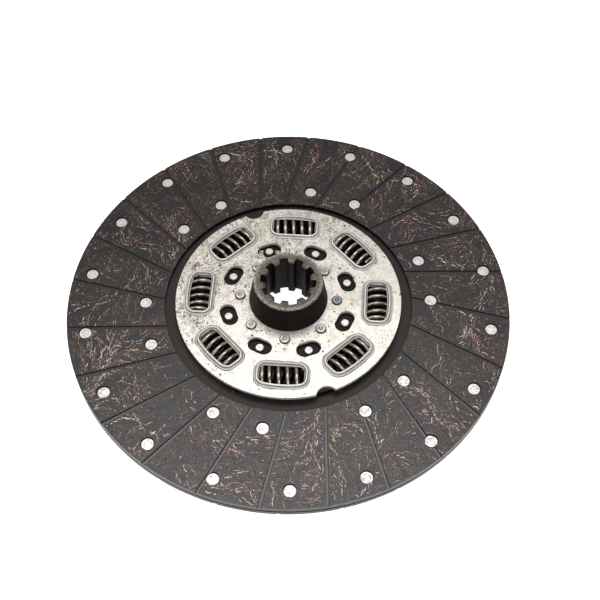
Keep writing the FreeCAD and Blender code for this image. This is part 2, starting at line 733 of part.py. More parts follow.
def hub_rivet_outline(sketch):
    """Both ends alike: a head with a rounded edge, a flat ring and a conical dimple."""
    head = "sizes.hub_rivet_head_diameter / 2"
    shank = "sizes.hub_rivet_shank_diameter / 2"
    height = "sizes.hub_rivet_head_height"
    crest = f"({retainer_top} + {height})"
    dimple = "sizes.hub_rivet_dimple_diameter / 2"
    depth = "sizes.hub_rivet_dimple_depth"
    rounding = f"{height} * 0.7"
    profile(
        sketch,
        [
            ("0", f"{crest} - {depth}"),
            (f"{dimple} / 2", f"{crest} - {depth}"),
            (dimple, crest),
            (f"{head} - {rounding}", crest),
            (head, f"{crest} - {rounding}", rounding),
            (head, retainer_top),
            (shank, retainer_top),
            (shank, f"-{retainer_top}"),
            (head, f"-{retainer_top}"),
            (head, f"-({crest} - {rounding})"),
            (f"{head} - {rounding}", f"-{crest}", rounding),
            (dimple, f"-{crest}"),
            (f"{dimple} / 2", f"-({crest} - {depth})"),
            ("0", f"-({crest} - {depth})"),
        ],
    )


hub_piece = hub()
hub_rivets = rivet_ring("hub_rivets", hub_rivet_outline, hub_rivet_ring, ["0"], "sizes.spring_count")
turn_about_axis(hub_rivets, "sizes.spring_phase")

# Damper springs: closed, ground ends and an open middle, wound right-handed about the body's own Z axis

closed_rise = "(sizes.spring_closed_turns * sizes.spring_closed_pitch)"
wire_start = "(-sizes.spring_length / 2 + sizes.spring_wire_diameter / 4)"
middle_rise = f"(-2 * {wire_start} - 2 * {closed_rise})"


def coil(body, name, start_height, start_turn, rise, turns):
    """One stretch of the spring. The wire's section has eight flats, which lie on its real round."""
    sketch = section_sketch(body, f"{name}_wire")
    about_axis = FreeCAD.Rotation(FreeCAD.Vector(0, 1, 0), 0)
    sketch.AttachmentOffset = FreeCAD.Placement(FreeCAD.Vector(), about_axis)
    sketch.setExpression("AttachmentOffset.Rotation.Angle", f"360 * ({start_turn})")
    mean_radius = "(sizes.spring_outer_diameter - sizes.spring_wire_diameter) / 2"
    flats = int(value("sizes.spring_wire_flats"))
    half_flat = 180 / flats
    corner_radius = f"sizes.spring_wire_diameter / 2 / cos({half_flat} * 1deg)"
    section = []
    for i in range(flats):
        angle = (2 * i + 1) * half_flat
        section.append(
            (
                f"{mean_radius} + {corner_radius} * cos({angle} * 1deg)",
                f"{start_height} + {corner_radius} * sin({angle} * 1deg)",
            )
        )
    profile(sketch, section)
    helix = body.newObject("PartDesign::AdditiveHelix", name)
    helix.Profile = sketch
    helix.ReferenceAxis = (sketch, ["V_Axis"])
    helix.Mode = "height-turns-angle"
    helix.setExpression("Height", rise)
    helix.setExpression("Turns", turns)
    doc.recompute()


def ground_end(body, name, height, side):
    """Cuts a coil's end flat, square to the spring's axis: side is 1 at the upper end, -1 at the lower."""
    sketch = plan_sketch(body, f"{name}_outline", height)
    circle(sketch, "sizes.spring_outer_diameter")
    cut = body.newObject("PartDesign::Pocket", name)
    cut.Profile = sketch
    cut.Reversed = side > 0
    cut.setExpression("Length", "sizes.spring_wire_diameter * 2")
    doc.recompute()


def damper_spring(number):
    body = new_body(f"damper_spring_{number}")
    coil(body, "first_closed_coil", wire_start, "0", closed_rise, "sizes.spring_closed_turns")
    coil(
        body,
        "open_coils",
        f"{wire_start} + {closed_rise}",
        "sizes.spring_closed_turns",
        middle_rise,
        "sizes.spring_middle_turns",
    )
    coil(
        body,
        "last_closed_coil",
        f"{wire_start} + {closed_rise} + {middle_rise}",
        "sizes.spring_closed_turns + sizes.spring_middle_turns",
        closed_rise,
        "sizes.spring_closed_turns",
    )
    ground_end(body, "first_ground_end", "-sizes.spring_length / 2", -1)
    ground_end(body, "last_ground_end", "sizes.spring_length / 2", 1)
    angle = value(f"sizes.spring_phase + 360 * {number - 1} / sizes.spring_count")
    roll = FreeCAD.Rotation(FreeCAD.Vector(0, 0, 1), value("sizes.spring_roll") * number)
    lie_level = FreeCAD.Rotation(FreeCAD.Vector(1, 0, 0), -90).multiply(roll)
    face_round = FreeCAD.Rotation(FreeCAD.Vector(0, 0, 1), angle)
    reach = FreeCAD.Vector(value(spring_ring), 0, 0)
    body.Placement = FreeCAD.Placement(face_round.multVec(reach), face_round.multiply(lie_level))
    return body


springs = [damper_spring(number) for number in range(1, int(value("sizes.spring_count")) + 1)]

pieces = [
    facing_front,
    facing_rear,
    outer_facing_rivets,
    inner_facing_rivets,
    core,
    adapter_plate_front,
    adapter_plate_rear,
    friction_ring_front,
    friction_ring_rear,
    stop_pins,
    retainer_plate_front,
    retainer_plate_rear,
    hub_piece,
    hub_rivets,
] + springs

doc.recompute()
failed = [item.Name for item in doc.Objects if "Invalid" in item.State or "Error" in item.State]
if failed:
    raise RuntimeError(f"these objects failed: {failed}")
for piece in pieces:
    if piece.Shape.isNull() or not piece.Shape.isValid() or not piece.Shape.Solids:
        raise RuntimeError(f"{piece.Label} has no valid solid")

os.makedirs("parts", exist_ok=True)
for piece in pieces:
    piece.Shape.exportStep(f"parts/{piece.Label}.step")
    print(piece.Label, len(piece.Shape.Solids), "solids", round(piece.Shape.Volume), "mm3")
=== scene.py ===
import json
import math
import random

import bpy
from mathutils import Matrix, Vector, noise


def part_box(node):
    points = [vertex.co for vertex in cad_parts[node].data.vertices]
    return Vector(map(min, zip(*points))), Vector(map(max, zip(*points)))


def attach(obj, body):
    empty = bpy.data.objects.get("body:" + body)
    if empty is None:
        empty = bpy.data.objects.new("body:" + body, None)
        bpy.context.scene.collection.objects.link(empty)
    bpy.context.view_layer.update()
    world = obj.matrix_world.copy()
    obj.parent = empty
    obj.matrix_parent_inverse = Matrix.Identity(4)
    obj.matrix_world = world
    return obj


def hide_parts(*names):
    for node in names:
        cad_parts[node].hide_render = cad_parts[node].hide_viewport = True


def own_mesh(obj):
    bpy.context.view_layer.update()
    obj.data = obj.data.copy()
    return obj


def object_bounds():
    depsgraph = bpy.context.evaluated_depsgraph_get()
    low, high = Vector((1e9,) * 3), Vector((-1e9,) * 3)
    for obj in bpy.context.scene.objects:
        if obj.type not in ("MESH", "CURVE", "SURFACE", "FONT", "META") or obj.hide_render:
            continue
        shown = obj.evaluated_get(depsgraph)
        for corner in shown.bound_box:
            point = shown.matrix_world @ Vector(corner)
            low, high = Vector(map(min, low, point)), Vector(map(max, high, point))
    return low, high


# A dry clutch disc on a white table. Metres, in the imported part's own frame: +Z along the hub, z = 0 in the
# middle of the core plate.

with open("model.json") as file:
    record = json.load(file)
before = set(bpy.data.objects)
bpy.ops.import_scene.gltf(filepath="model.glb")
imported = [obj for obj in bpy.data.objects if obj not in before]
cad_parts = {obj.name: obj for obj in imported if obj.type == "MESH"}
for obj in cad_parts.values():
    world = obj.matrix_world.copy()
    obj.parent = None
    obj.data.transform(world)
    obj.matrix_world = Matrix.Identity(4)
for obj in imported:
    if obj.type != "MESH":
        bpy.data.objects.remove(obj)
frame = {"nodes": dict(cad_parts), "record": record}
cadBox = [list(corner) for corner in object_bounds()]
mm = 0.001
mergeDistance = 0.002 * mm
bodyOfNode = {
    node: body for body, nodes in frame["record"]["behaviour"]["bodies"].items() for node in nodes
}
print("stage: frame loaded")


# Small helpers for selecting, copying and finishing pieces

def selectOnly(obj):
    bpy.ops.object.select_all(action="DESELECT")
    obj.select_set(True)
    bpy.context.view_layer.objects.active = obj


def editMode(obj):
    selectOnly(obj)
    bpy.ops.object.mode_set(mode="EDIT")
    bpy.ops.mesh.select_all(action="SELECT")


def objectMode():
    bpy.ops.object.mode_set(mode="OBJECT")


def addObject(name, data):
    obj = bpy.data.objects.new(name, data)
    bpy.context.scene.collection.objects.link(obj)
    return obj


def applyModifier(obj, kind, **settings):
    selectOnly(obj)
    modifier = obj.modifiers.new(kind.lower(), kind)
    for key, setting in settings.items():
        setattr(modifier, key, setting)
    bpy.ops.object.modifier_apply(modifier=modifier.name)


def applyPlace(obj):
    selectOnly(obj)
    bpy.ops.object.transform_apply(location=True, rotation=True, scale=True)


def newTube(name, radius, resolution):
    # an empty curve that gives each of its splines a round, capped section
    curve = bpy.data.curves.new(name, "CURVE")
    curve.dimensions = "3D"
    curve.bevel_depth = radius
    curve.bevel_resolution = resolution
    curve.use_fill_caps = True
    return curve


def curveToMesh(name, curve):
    selectOnly(addObject(name, curve))
    bpy.ops.object.convert(target="MESH")
    return bpy.context.active_object


def finishPiece(obj, body, material, replaced=()):
    obj.data.materials.clear()
    obj.data.materials.append(material)
    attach(obj, body)
    if replaced:
        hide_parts(*replaced)


def mergedCopy(node, pieceName):
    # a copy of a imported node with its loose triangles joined, so that it can be smoothed
    piece = addObject(pieceName, frame["nodes"][node].data.copy())
    selectOnly(piece)
    bpy.ops.mesh.customdata_custom_splitnormals_clear()
    editMode(piece)
    bpy.ops.mesh.remove_doubles(threshold=mergeDistance)
    objectMode()
    return piece


def smoothShade(obj, angle=30.0):
    selectOnly(obj)
    bpy.ops.object.shade_smooth_by_angle(angle=math.radians(angle))
    applyModifier(obj, "WEIGHTED_NORMAL", keep_sharp=True, weight=80)


# Node helpers. A socket given as a value is linked, anything else is set.

def connect(tree, socket, value):
    if isinstance(value, bpy.types.NodeSocket):
        tree.links.new(value, socket)
    else:
        socket.default_value = value


def addNode(tree, kind, inputs=None, **settings):
    node = tree.nodes.new(kind)
    for key, setting in settings.items():
        setattr(node, key, setting)
    for key, value in (inputs or {}).items():
        connect(tree, node.inputs[key], value)
    return node


def mixColour(tree, share, first, second):
    return addNode(tree, "ShaderNodeMix", {0: share, 6: first, 7: second}, data_type="RGBA").outputs[2]


def maths(tree, operation, first, second=0.0):
    return addNode(tree, "ShaderNodeMath", {0: first, 1: second}, operation=operation).outputs[0]


def times(tree, first, second):
    return maths(tree, "MULTIPLY", first, second)


def vectorMaths(tree, operation, inputs):
    return addNode(tree, "ShaderNodeVectorMath", inputs, operation=operation).outputs


def splitAxes(tree, vector):
    return addNode(tree, "ShaderNodeSeparateXYZ", {0: vector}).outputs


def spread(tree, value, low, high, toLow=0.0, toHigh=1.0):
    # a smooth step of a value from low to high
    inputs = {"Value": value, "From Min": low, "From Max": high, "To Min": toLow, "To Max": toHigh}
    return addNode(tree, "ShaderNodeMapRange", inputs, interpolation_type="SMOOTHSTEP").outputs[0]


def eased(tree, share, ends):
    # from the first end where share is 0 to the second where it is 1
    return spread(tree, share, 0.0, 1.0, *ends)


def band(tree, value, middle, halfWidth, softness):
    # 1 near a middle value, fading to 0 on both sides
    off = maths(tree, "ABSOLUTE", maths(tree, "SUBTRACT", value, middle))
    return spread(tree, off, halfWidth + softness, halfWidth)


def planReach(tree, axes):
    # distance from the hub's axis
    flat = addNode(tree, "ShaderNodeCombineXYZ", {0: axes[0], 1: axes[1]}).outputs[0]
    return vectorMaths(tree, "LENGTH", {0: flat})[1]


def newGroup(name, inputs, outputs):
    group = bpy.data.node_groups.new(name, "ShaderNodeTree")
    for socketName, kind, default in inputs:
        socket = group.interface.new_socket(name=socketName, in_out="INPUT", socket_type=kind)
        if default is not None:
            socket.default_value = default
    for socketName, kind in outputs:
        group.interface.new_socket(name=socketName, in_out="OUTPUT", socket_type=kind)
    return group, group.nodes.new("NodeGroupInput").outputs, group.nodes.new("NodeGroupOutput").inputs


def useGroup(tree, group, inputs):
    return addNode(tree, "ShaderNodeGroup", inputs, node_tree=group).outputs[0]


def newMaterial(name):
    material = bpy.data.materials.new(name)
    material.use_nodes = True
    tree = material.node_tree
    tree.nodes.clear()
    output = tree.nodes.new("ShaderNodeOutputMaterial")
    shader = tree.nodes.new("ShaderNodeBsdfPrincipled")
    tree.links.new(shader.outputs[0], output.inputs[0])
    place = tree.nodes.new("ShaderNodeTexCoord").outputs["Object"]
    return material, tree, shader, place


def finishShader(tree, shader, colour, roughness, metallic, relief=None):
    # relief holds a height, a strength and a distance
    connect(tree, shader.inputs["Base Color"], colour)
    connect(tree, shader.inputs["Roughness"], roughness)
    connect(tree, shader.inputs["Metallic"], metallic)
    if relief:
        bump = addNode(tree, "ShaderNodeBump", dict(zip(("Height", "Strength", "Distance"), relief)))
        tree.links.new(bump.outputs[0], shader.inputs["Normal"])


# Shared effects

def makeMottle():
    # soft cloudy variation, 0 to 1
    group, given, out = newGroup(
        "mottle",
        [("Vector", "NodeSocketVector", None), ("Scale", "NodeSocketFloat", 40.0),
         ("Warp", "NodeSocketFloat", 0.3), ("Low", "NodeSocketFloat", 0.4), ("High", "NodeSocketFloat", 0.6)],
        [("Value", "NodeSocketFloat")],
    )
    cloud = addNode(group, "ShaderNodeTexNoise", {
        "Vector": given["Vector"], "Scale": given["Scale"], "Distortion": given["Warp"],
        "Detail": 5.0, "Roughness": 0.6,
    }).outputs[0]
    connect(group, out["Value"], spread(group, cloud, given["Low"], given["High"]))
    return group


speckShape = {
    "warpScale": 700.0,
    "warpDetail": 2.0,
    "warp": 1.1 * mm,
    "smallest": 0.4,
    "softness": 0.12,
}


def makeSpecks(shape):
    # small irregular spots, denser where Density is high
    group, given, out = newGroup(
        "specks",
        [("Vector", "NodeSocketVector", None), ("Scale", "NodeSocketFloat", 900.0),
         ("Size", "NodeSocketFloat", 0.3), ("Density", "NodeSocketFloat", 0.3)],
        [("Mask", "NodeSocketFloat")],
    )
    noiseInputs = {"Vector": given["Vector"], "Scale": shape["warpScale"], "Detail": shape["warpDetail"]}
    cloud = addNode(group, "ShaderNodeTexNoise", noiseInputs).outputs["Color"]
    warp = vectorMaths(group, "SCALE", {0: cloud, "Scale": shape["warp"]})[0]
    place = vectorMaths(group, "ADD", {0: given["Vector"], 1: warp})[0]
    cells = addNode(group, "ShaderNodeTexVoronoi", {"Vector": place, "Scale": given["Scale"]}).outputs
    lot = addNode(group, "ShaderNodeSeparateColor", {0: cells["Color"]}).outputs
    chosen = maths(group, "LESS_THAN", lot[0], given["Density"])
    size = times(group, given["Size"], maths(group, "ADD", lot[1], shape["smallest"]))
    dot = spread(group, maths(group, "SUBTRACT", size, cells["Distance"]), 0.0, shape["softness"])
    connect(group, out["Mask"], times(group, chosen, dot))
    return group


def makeRingDistance():
    # distance from the nearest of several points spaced evenly on a circle about the hub's axis
    group, given, out = newGroup(
        "ringDistance",
        [("Vector", "NodeSocketVector", None), ("Radius", "NodeSocketFloat", 0.05),
         ("Phase", "NodeSocketFloat", 0.0), ("Step", "NodeSocketFloat", 0.785)],
        [("Distance", "NodeSocketFloat")],
    )
    axes = splitAxes(group, given["Vector"])
    reach = planReach(group, axes)
    angle = maths(group, "SUBTRACT", maths(group, "ARCTAN2", axes[1], axes[0]), given["Phase"])
    steps = maths(group, "ROUND", maths(group, "DIVIDE", angle, given["Step"]))
    rest = maths(group, "SUBTRACT", angle, times(group, steps, given["Step"]))
    across = times(group, reach, maths(group, "SINE", rest))
    along = maths(group, "SUBTRACT", times(group, reach, maths(group, "COSINE", rest)), given["Radius"])
    flat = addNode(group, "ShaderNodeCombineXYZ", {0: across, 1: along}).outputs[0]
    connect(group, out["Distance"], vectorMaths(group, "LENGTH", {0: flat})[1])
    return group


mottle = makeMottle()
specks = makeSpecks(speckShape)
ringDistance = makeRingDistance()


def clouded(tree, place, look):
    return useGroup(tree, mottle, {"Vector": place, **look})


def speckled(tree, place, look):
    return useGroup(tree, specks, {"Vector": place, **look})


def fromRing(tree, place, ring):
    return useGroup(tree, ringDistance, {
        "Vector": place, "Radius": ring["radius"], "Phase": math.radians(ring["phase"]),
        "Step": 2 * math.pi / ring["count"],
    })


def fromRings(tree, place, rings):
    # distance from the nearest fastener of several rings
    nearest = fromRing(tree, place, rings[0])
    for ring in rings[1:]:
        nearest = maths(tree, "MINIMUM", nearest, fromRing(tree, place, ring))
    return nearest


def upright(tree):
    # 1 on walls, 0 on level faces
    normal = addNode(tree, "ShaderNodeNewGeometry").outputs["True Normal"]
    return spread(tree, maths(tree, "ABSOLUTE", splitAxes(tree, normal)[2]), 0.75, 0.3)


fastenerRings = {
    "outer": {"radius": 163.4 * mm, "phase": 10.94, "count": 18},
    "innerAhead": {"radius": 115.04 * mm, "phase": 20.94, "count": 6},
    "innerBehind": {"radius": 115.04 * mm, "phase": 0.94, "count": 6},
    "hub": {"radius": 39.0 * mm, "phase": -3.5, "count": 8},
    "pins": {"radius": 50.2 * mm, "phase": 19.0, "count": 8},
}
facingRings = [fastenerRings[name] for name in ("outer", "innerAhead", "innerBehind")]


# Camera, floor and light

cameraView = {
    "focalPixels": 1017.4,
    "frameWidth": 600,
    "sensor": 36.0,
    "nearest": 0.01,
    "pitch": 56.62,
    "roll": -0.2835,
    "originRight": -9.34 * mm,
    "originDown": 3.28 * mm,
    "originAhead": 825.8 * mm,
}


def placeCamera(view):
    pitch = math.radians(view["pitch"])
    roll = math.radians(view["roll"])
    level = Vector((1, 0, 0))
    steep = Vector((0, -math.sin(pitch), -math.cos(pitch)))
    ahead = Vector((0, math.cos(pitch), -math.sin(pitch)))
    right = math.cos(roll) * level + math.sin(roll) * steep
    down = -math.sin(roll) * level + math.cos(roll) * steep
    place = -(view["originRight"] * right + view["originDown"] * down + view["originAhead"] * ahead)
    data = bpy.data.cameras.new("photoCamera")
    data.sensor_width = view["sensor"]
    data.lens = view["focalPixels"] * view["sensor"] / view["frameWidth"]
    data.clip_start = view["nearest"]
    camera = addObject("photoCamera", data)
    turned = Matrix((right, -down, -ahead)).transposed().to_4x4()
    camera.matrix_world = Matrix.Translation(place) @ turned
    bpy.context.scene.camera = camera


tableSettings = {
    "size": 12.0,
    "colour": (0.93, 0.93, 0.93, 1.0),
    "paler": (0.97, 0.97, 0.97, 1.0),
    "cloud": {"Scale": 1.5, "Low": 0.3, "High": 0.7},
    "roughness": 0.9,
    "glow": 1.0,
    "glowColour": (1.0, 1.0, 1.0, 1.0),
    "covered": (24.0 * mm, 168.0 * mm),
    "fade": (6.0 * mm, 4.0 * mm),
}


def makeFloor(settings):
    # a table that glows white beside the disc and through its bore, and stays dark under it
    bpy.ops.mesh.primitive_plane_add(size=settings["size"], location=(0, 0, cadBox[0][2]))
    floor = bpy.context.active_object
    floor.name = "whiteTable"
    applyPlace(floor)
    material, tree, shader, place = newMaterial("whiteTable")
    cloud = clouded(tree, place, settings["cloud"])
    shade = mixColour(tree, cloud, settings["colour"], settings["paler"])
    reach = planReach(tree, splitAxes(tree, place))
    inner, outer = settings["covered"]
    innerFade, outerFade = settings["fade"]
    beyond = spread(tree, reach, outer, outer + outerFade)
    within = spread(tree, reach, inner + innerFade, inner)
    finishShader(tree, shader, shade, settings["roughness"], 0.0)
    shader.inputs["Emission Color"].default_value = settings["glowColour"]
    openTable = maths(tree, "ADD", beyond, within)
    connect(tree, shader.inputs["Emission Strength"], times(tree, openTable, settings["glow"]))
    floor.data.materials.append(material)


lightSettings = [
    # name, azimuth from +Y towards +X, elevation, distance, width, height, power
    ("overheadBox", -4.0, 74.0, 1.7, 1.1, 0.6, 12.0),
    ("backBox", 25.0, 50.0, 2.0, 1.2, 0.4, 0.6),
    ("leftBox", -80.0, 40.0, 1.8, 0.8, 0.8, 4.0),
    ("frontBox", 172.0, 48.0, 0.62, 0.4, 0.2, 0.9),
]
roomLight = {"colour": (1.0, 1.0, 1.0, 1.0), "strength": 0.3}


def makeLights(boxes, room):
    for name, azimuth, elevation, distance, width, height, power in boxes:
        turn = math.radians(azimuth)
        rise = math.radians(elevation)
        towards = (math.sin(turn) * math.cos(rise), math.cos(turn) * math.cos(rise), math.sin(rise))
        data = bpy.data.lights.new(name, "AREA")
        data.shape = "RECTANGLE"
        data.size = width
        data.size_y = height
        data.energy = power
        lamp = addObject(name, data)
        lamp.location = Vector(towards) * distance
        lamp.rotation_euler = lamp.location.to_track_quat("Z", "Y").to_euler()
    world = bpy.data.worlds.new("paleRoom")
    world.use_nodes = True
    background = world.node_tree.nodes["Background"]
    background.inputs[0].default_value = room["colour"]
    background.inputs[1].default_value = room["strength"]
    bpy.context.scene.world = world
    bpy.context.scene.view_settings.view_transform = "Standard"


placeCamera(cameraView)
makeFloor(tableSettings)
makeLights(lightSettings, roomLight)
print("stage: camera, floor and light")


# Friction facing: a mottled ground with fine threads; dust grooves with a painted sheen and painted shade;
# painted shade in the rivet seats and on walls; a painted highlight along the rim

facingFinish = {
    "slate": (0.029, 0.022, 0.027, 1.0),
    "olive": (0.030, 0.034, 0.022, 1.0),
    "brown": (0.058, 0.034, 0.030, 1.0),
    "thread": (0.165, 0.118, 0.102, 1.0),
    "palePoint": (0.46, 0.41, 0.38, 1.0),
    "groove": (0.030, 0.027, 0.025, 1.0),
    "sheenLitGroove": (0.15, 0.144, 0.146, 1.0),
    "shade": (0.0035, 0.003, 0.003, 1.0),
    "rimHighlight": (0.12, 0.118, 0.118, 1.0),
    "patches": {"Scale": 48.0, "Warp": 0.5, "Low": 0.36, "High": 0.66},
    "olivePatches": {"Scale": 60.0, "Warp": 0.4, "Low": 0.4, "High": 0.68},
    "oliveShift": (0.3, 0.1, 0.2),
    "oliveShare": 0.85,
    "grain": {"Scale": 520.0, "Low": 0.3, "High": 0.72},
    "grainShare": 0.4,
    "threads": {"Scale": 900.0, "Size": 0.42},
    "threadStretch": (1.0, 0.45, 1.0),
    "threadDensity": 0.7,
    "threadShare": 0.85,
    "palePoints": {"Scale": 640.0, "Size": 0.3, "Density": 0.16},
    "paleShare": (0.6, 0.2),
    "grooveLevel": 4.3 * mm,
    "grooveSide": (0.5 * mm, 0.9 * mm),
    "sideShare": (0.15, 1.0),
    "grooveSheenSide": (-60 * mm, -120 * mm),
    "grooveSheenShare": (0.6, 1.0),
    "seatLevel": 3.3 * mm,
    "seatLine": 5.75 * mm,
    "seatShare": 0.9,
    "levelFade": 0.3 * mm,
    "rimEdge": 177.2 * mm,
    "rimFade": 0.2 * mm,
    "rimHighlightShare": 0.6,
    "roughness": (0.28, 0.36),
    "specular": 0.34,
    "grainRelief": 0.5,
    "relief": (0.4, 0.16 * mm),
}
grooveLines = {
    "offsets": (27.8 * mm, 23.5 * mm),
    "starts": (270.6, 91.1),
    "step": math.radians(15.0),
}


def fromGroove(tree, axes, lines):
    # distance from the middle of the nearest dust groove, each half with its own offset from the centre
    reach = planReach(tree, axes)
    turn = maths(tree, "ARCTAN2", axes[1], axes[0])
    step = lines["step"]
    found = []
    for offset, start in zip(lines["offsets"], lines["starts"]):
        lean = maths(tree, "ARCSINE", maths(tree, "DIVIDE", offset, reach))
        angle = maths(tree, "SUBTRACT", maths(tree, "SUBTRACT", turn, lean), math.radians(start))
        steps = maths(tree, "ROUND", maths(tree, "DIVIDE", angle, step))
        rest = maths(tree, "ABSOLUTE", maths(tree, "SUBTRACT", angle, times(tree, steps, step)))
        half = maths(tree, "GREATER_THAN", maths(tree, "SINE", maths(tree, "ADD", angle, step / 2)), 0.0)
        found.append(times(tree, times(tree, rest, reach), half))
    return maths(tree, "ADD", found[0], found[1])


def wovenGround(tree, place, finish):
    patch = clouded(tree, place, finish["patches"])
    shifted = vectorMaths(tree, "ADD", {0: place, 1: finish["oliveShift"]})[0]
    other = clouded(tree, shifted, finish["olivePatches"])
    grain = clouded(tree, place, finish["grain"])
    ground = mixColour(tree, patch, finish["slate"], finish["brown"])
    ground = mixColour(tree, times(tree, other, finish["oliveShare"]), ground, finish["olive"])
    ground = mixColour(tree, times(tree, grain, finish["grainShare"]), ground, finish["shade"])
    stretched = vectorMaths(tree, "MULTIPLY", {0: place, 1: finish["threadStretch"]})[0]
    density = times(tree, patch, finish["threadDensity"])
    thread = speckled(tree, stretched, {**finish["threads"], "Density": density})
    ground = mixColour(tree, times(tree, thread, finish["threadShare"]), ground, finish["thread"])
    pale = times(tree, speckled(tree, place, finish["palePoints"]), eased(tree, other, finish["paleShare"]))
    return mixColour(tree, pale, ground, finish["palePoint"]), grain, thread


def grooveFloor(tree, axes, grain, finish, lines):
    # dark floors, painted lighter towards −Y as a painted sheen, with painted shade along both walls, stronger
    # towards −Y
    grooveSheenSide = spread(tree, axes[1], *finish["grooveSheenSide"])
    grooveSheen = times(tree, grooveSheenSide, eased(tree, grain, finish["grooveSheenShare"]))
    atSide = spread(tree, fromGroove(tree, axes, lines), *finish["grooveSide"])
    atSide = times(tree, atSide, maths(tree, "GREATER_THAN", axes[2], 0.0))
    atSide = times(tree, atSide, eased(tree, grooveSheenSide, finish["sideShare"]))
    colour = mixColour(tree, grooveSheen, finish["groove"], finish["sheenLitGroove"])
    return mixColour(tree, atSide, colour, finish["shade"])


def makeFacingMaterial(finish, lines, rings):
    material, tree, shader, place = newMaterial("wovenFacing")
    axes = splitAxes(tree, place)
    ground, grain, thread = wovenGround(tree, place, finish)
    level = maths(tree, "ABSOLUTE", axes[2])
    inGroove = spread(tree, level, finish["grooveLevel"], finish["grooveLevel"] - finish["levelFade"])
    colour = mixColour(tree, inGroove, ground, grooveFloor(tree, axes, grain, finish, lines))
    # painted shade in the rivet seats, in a thin ring round each seat's edge and on every upright wall, the
    # rim's side included
    inSeat = spread(tree, level, finish["seatLevel"], finish["seatLevel"] - finish["levelFade"])
    reach = fromRings(tree, place, rings)
    seatEdge = spread(tree, reach, finish["seatLine"], finish["seatLine"] - finish["levelFade"])
    paintedShade = maths(tree, "MAXIMUM", maths(tree, "MAXIMUM", inSeat, seatEdge), upright(tree))
    colour = mixColour(tree, times(tree, paintedShade, finish["seatShare"]), colour, finish["shade"])
    # a painted highlight along the top edge of the rim
    atRim = spread(tree, planReach(tree, axes), finish["rimEdge"], finish["rimEdge"] + finish["rimFade"])
    atTop = spread(tree, level, finish["grooveLevel"], finish["grooveLevel"] + finish["rimFade"])
    onEdge = times(tree, times(tree, atRim, atTop), finish["rimHighlightShare"])
    colour = mixColour(tree, onEdge, colour, finish["rimHighlight"])
    height = maths(tree, "ADD", times(tree, grain, finish["grainRelief"]), thread)
    roughness = eased(tree, grain, finish["roughness"])
    finishShader(tree, shader, colour, roughness, 0.0, (height, *finish["relief"]))
    shader.inputs["Specular IOR Level"].default_value = finish["specular"]
    return material


# Brass and copper wire in the facings

wireFinish = {
    "steps": [
        (0.0, (0.10, 0.075, 0.068, 1.0)),
        (0.25, (0.18, 0.138, 0.124, 1.0)),
        (0.44, (0.34, 0.265, 0.24, 1.0)),
        (0.55, (0.58, 0.44, 0.40, 1.0)),
        (0.60, (0.92, 0.33, 0.18, 1.0)),
        (0.66, (1.0, 0.74, 0.42, 1.0)),
        (0.72, (0.85, 0.56, 0.52, 1.0)),
        (0.80, (0.95, 0.72, 0.68, 1.0)),
        (0.9, (1.0, 0.97, 0.93, 1.0)),
    ],
    "dull": {"Scale": 900.0},
    "dullShare": 0.3,
    "dullColour": (0.06, 0.04, 0.035, 1.0),
    "roughness": (0.35, 0.55),
    "metallic": 0.25,
}


def makeWireMaterial(finish):
    material, tree, shader, place = newMaterial("brassAndCopperWire")
    tone = addNode(tree, "ShaderNodeAttribute", attribute_name="wireTone").outputs["Fac"]
    ramp = addNode(tree, "ShaderNodeValToRGB", {0: tone})
    elements = ramp.color_ramp.elements
    while len(elements) < len(finish["steps"]):
        elements.new(0.5)
    for element, (position, colour) in zip(elements, finish["steps"]):
        element.position = position
        element.color = colour
    dull = clouded(tree, place, finish["dull"])
    colour = mixColour(tree, times(tree, dull, finish["dullShare"]), ramp.outputs[0], finish["dullColour"])
    finishShader(tree, shader, colour, eased(tree, dull, finish["roughness"]), finish["metallic"])
    return material


# Plated sheet of the retainer plates, with painted highlights on the lips' crests and lower slopes, painted
# shade on their upper sides, and dark bands at the lips' feet and folds, dirt with painted crease shade

platedFinish = {
    "bright": (0.78, 0.74, 0.68, 1.0),
    "grey": (0.52, 0.48, 0.43, 1.0),
    "grain": (0.15, 0.115, 0.085, 1.0),
    "pit": (0.045, 0.032, 0.023, 1.0),
    "creaseDirtAndShade": (0.045, 0.036, 0.028, 1.0),
    "crest": (0.92, 0.90, 0.86, 1.0),
    "slope": (0.44, 0.41, 0.365, 1.0),
    "wornTowards": (-0.62, 0.78, 0.0),
    "wornSide": (-75 * mm, 75 * mm, 0.12, 1.0),
    "broadClouds": {"Scale": 30.0, "Low": 0.38, "High": 0.62},
    "broadShare": 0.6,
    "clouds": {"Scale": 150.0, "Low": 0.4, "High": 0.65},
    "cloudShare": (0.35, 0.95),
    "grains": {"Scale": 480.0, "Warp": 1.4, "Low": 0.47, "High": 0.62},
    "grainShare": (0.2, 1.0),
    "marks": [
        # look, share, colour of the yellow stain and of the rust
        ({"Scale": 36.0, "Warp": 0.6, "Low": 0.54, "High": 0.7}, 0.4, (0.55, 0.52, 0.34, 1.0)),
        ({"Scale": 64.0, "Warp": 1.0, "Low": 0.6, "High": 0.72}, 0.45, (0.40, 0.28, 0.20, 1.0)),
    ],
    "rivetDirtAndShade": (7.8 * mm, 4.6 * mm),
    "rivetDirtAndShadeShare": 0.3,
    "pits": {"Scale": 430.0, "Size": 0.36},
    "pitDensity": (0.08, 0.42),
    "pitShare": 0.85,
    "lipFlare": (0.995, 0.86),
    "flareShare": 0.85,
    "lipWall": (10.2 * mm, 10.7 * mm),
    "wallClouds": {"Scale": 900.0, "Low": 0.4, "High": 0.6},
    "wallShadeShare": (0.35, 0.9),
    "foot": (9.34 * mm, 0.18 * mm, 0.1 * mm),
    "footShare": (0.15, 0.95),
    "fold": (11.15 * mm, 0.14 * mm, 0.12 * mm),
    "foldShare": (0.4, 0.85),
    "crestLevels": (11.45 * mm, 11.8 * mm),
    "grainRoughness": 0.18,
    "wornRoughness": (0.3, 0.42),
    "metallic": (0.72, 0.3),
    "grainRelief": -0.6,
    "relief": (0.4, 0.14 * mm),
}


